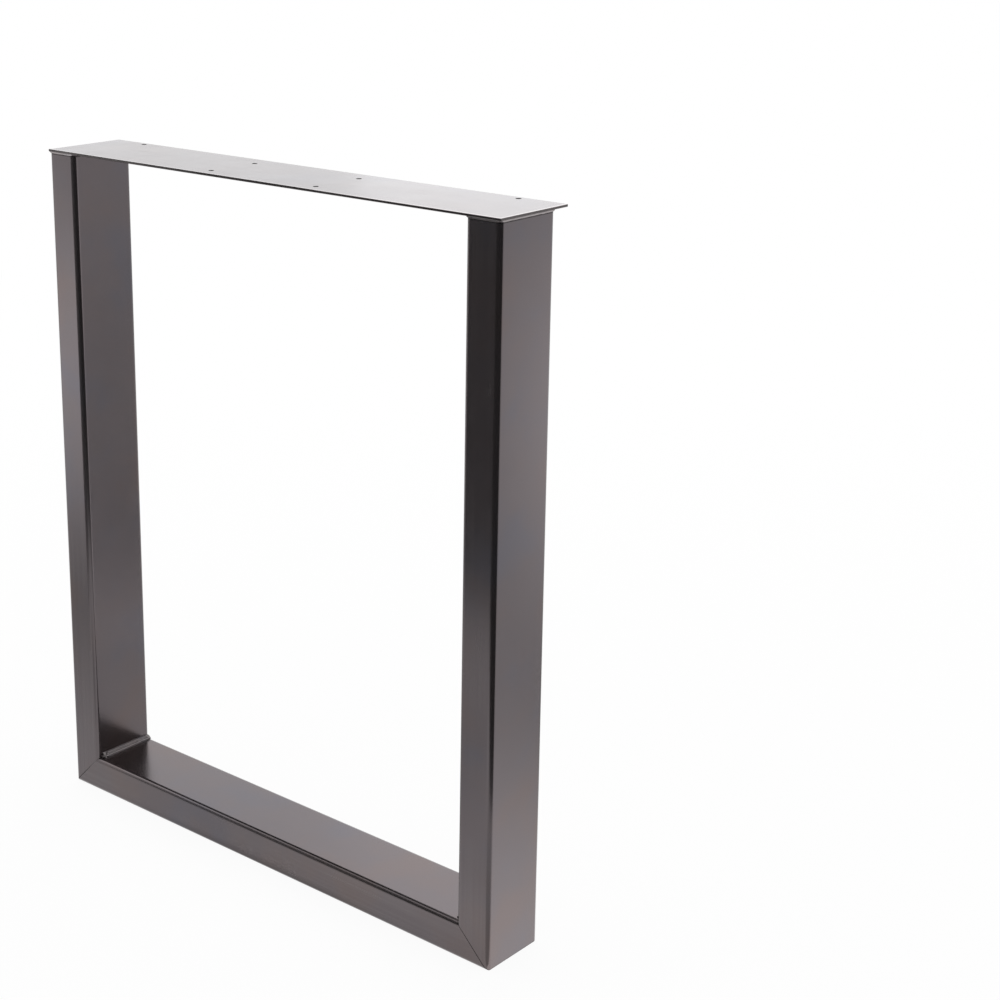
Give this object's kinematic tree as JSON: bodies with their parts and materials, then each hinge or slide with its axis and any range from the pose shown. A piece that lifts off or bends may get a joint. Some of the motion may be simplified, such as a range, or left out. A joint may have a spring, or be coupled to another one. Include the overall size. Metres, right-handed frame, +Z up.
{
  "type": "u shaped table leg",
  "caption": "U shaped steel table leg: rectangular tube uprights and bottom rail, mitred and welded, under a flat top plate with screw holes.",
  "frame": {"origin": "on the floor, at the middle of the bottom rail's underside", "axes": "+X along the width of the leg, +Y from its front to its back, where the plate stands out past the tubes, +Z up"},
  "size_m": [0.591, 0.094, 0.711],
  "materials": {
    "painted_tube": "satin dark grey paint with a violet-brown tone over drawn steel tube",
    "painted_plate": "satin dark grey paint with a violet-brown tone over flat rolled steel",
    "painted_weld": "satin dark grey paint with a violet-brown tone over rippled weld metal"
  },
  "bodies": {
    "root": {"left_upright": "painted_tube", "right_upright": "painted_tube", "bottom_rail": "painted_tube", "top_plate": "painted_plate", "left_corner_weld": "painted_weld", "right_corner_weld": "painted_weld", "left_plate_weld": "painted_weld", "right_plate_weld": "painted_weld", "left_mitre_weld": "painted_weld", "right_mitre_weld": "painted_weld"}
  },
  "joints": []
}
